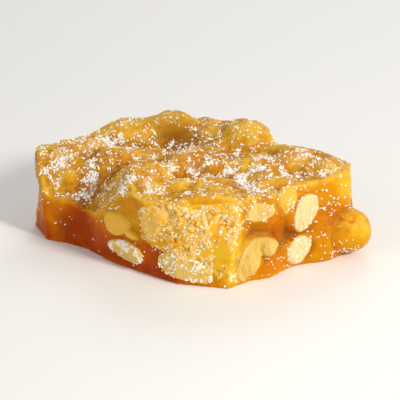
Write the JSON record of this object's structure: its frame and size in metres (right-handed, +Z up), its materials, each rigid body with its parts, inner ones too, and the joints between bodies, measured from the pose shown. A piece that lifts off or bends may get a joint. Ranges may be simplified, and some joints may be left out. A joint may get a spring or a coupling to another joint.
{
  "type": "cashew brittle piece",
  "caption": "Broken chunk of nut brittle: a thick flat-bottomed slab of amber boiled sugar with a humped top and cashew kernels cut through at its broken sides.",
  "frame": {"origin": "on the flat underside, at the middle of the piece's bounding box on plan", "axes": "+X along the longest side of the piece, to the right; +Y to the back; +Z up out of the humped top"},
  "size_m": [0.1082, 0.0708, 0.033],
  "materials": {
    "amber_sugar": "boiled sugar, amber, half clear and glossy where broken, golden over the nuts, dusted with white sugar on top",
    "cashew": "dry roasted cashew flesh, pale cream, matte and finely fibrous where broken"
  },
  "bodies": {
    "root": {"sugar_slab": "amber_sugar", "kernel_01": "cashew", "kernel_02": "cashew", "kernel_03": "cashew", "kernel_04": "cashew", "kernel_05": "cashew", "kernel_06": "cashew", "kernel_07": "cashew", "kernel_08": "cashew", "kernel_09": "cashew", "kernel_10": "cashew", "kernel_11": "cashew", "kernel_12": "cashew", "kernel_13": "cashew", "kernel_14": "cashew", "kernel_15": "cashew", "kernel_16": "cashew"}
  },
  "joints": []
}
